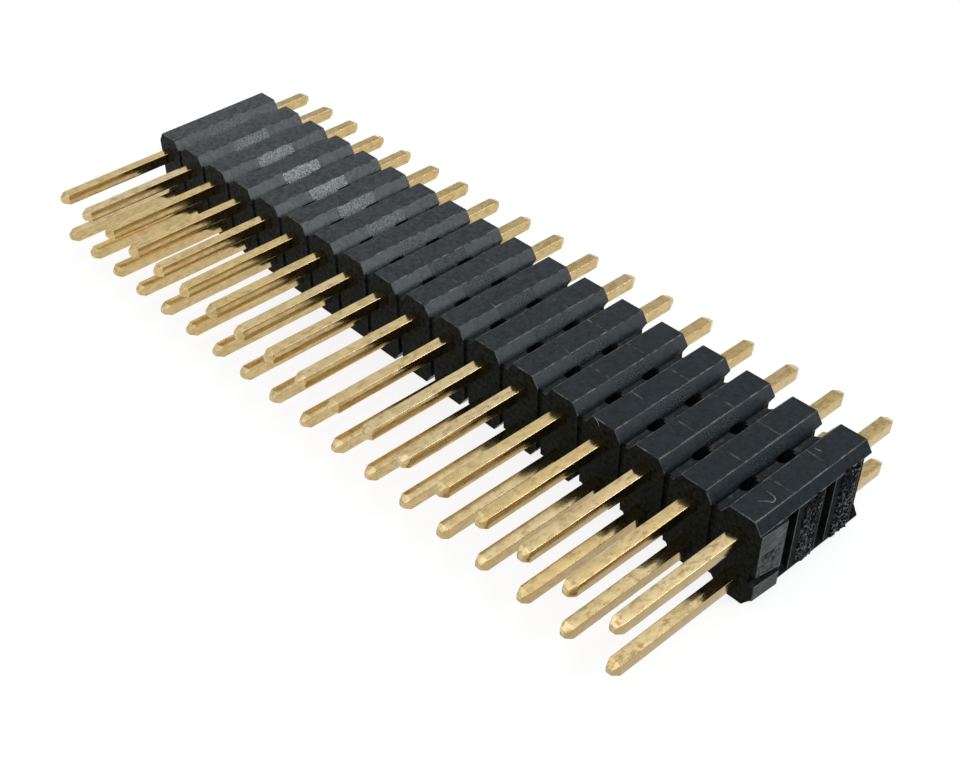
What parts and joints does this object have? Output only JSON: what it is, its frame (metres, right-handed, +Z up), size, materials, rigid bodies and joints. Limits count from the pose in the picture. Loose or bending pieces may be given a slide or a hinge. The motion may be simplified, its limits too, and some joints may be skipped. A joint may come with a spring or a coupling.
{
  "type": "pin header strip",
  "caption": "Straight double-row pin header: gold square pins pressed through a stack of black notched insulator strips, with long mating ends and short solder tails.",
  "frame": {"origin": "bottom centre of the whole part's box, on the surface that the strip lies on", "axes": "+X along the strip towards its snapped end, +Y along the pins towards the solder tails, +Z up across the two rows"},
  "size_m": [0.0454, 0.0178, 0.0049],
  "materials": {
    "insulator": "satin black moulded plastic",
    "pin": "thin pale gold plating"
  },
  "bodies": {
    "root": {"front_insulator": "insulator", "middle_insulator": "insulator", "rear_insulator": "insulator", "lower_pin_01": "pin", "lower_pin_02": "pin", "lower_pin_03": "pin", "lower_pin_04": "pin", "lower_pin_05": "pin", "lower_pin_06": "pin", "lower_pin_07": "pin", "lower_pin_08": "pin", "lower_pin_09": "pin", "lower_pin_10": "pin", "lower_pin_11": "pin", "lower_pin_12": "pin", "lower_pin_13": "pin", "lower_pin_14": "pin", "lower_pin_15": "pin", "lower_pin_16": "pin", "lower_pin_17": "pin", "lower_pin_18": "pin", "upper_pin_01": "pin", "upper_pin_02": "pin", "upper_pin_03": "pin", "upper_pin_04": "pin", "upper_pin_05": "pin", "upper_pin_06": "pin", "upper_pin_07": "pin", "upper_pin_08": "pin", "upper_pin_09": "pin", "upper_pin_10": "pin", "upper_pin_11": "pin", "upper_pin_12": "pin", "upper_pin_13": "pin", "upper_pin_14": "pin", "upper_pin_15": "pin", "upper_pin_16": "pin", "upper_pin_17": "pin", "upper_pin_18": "pin"}
  },
  "joints": []
}
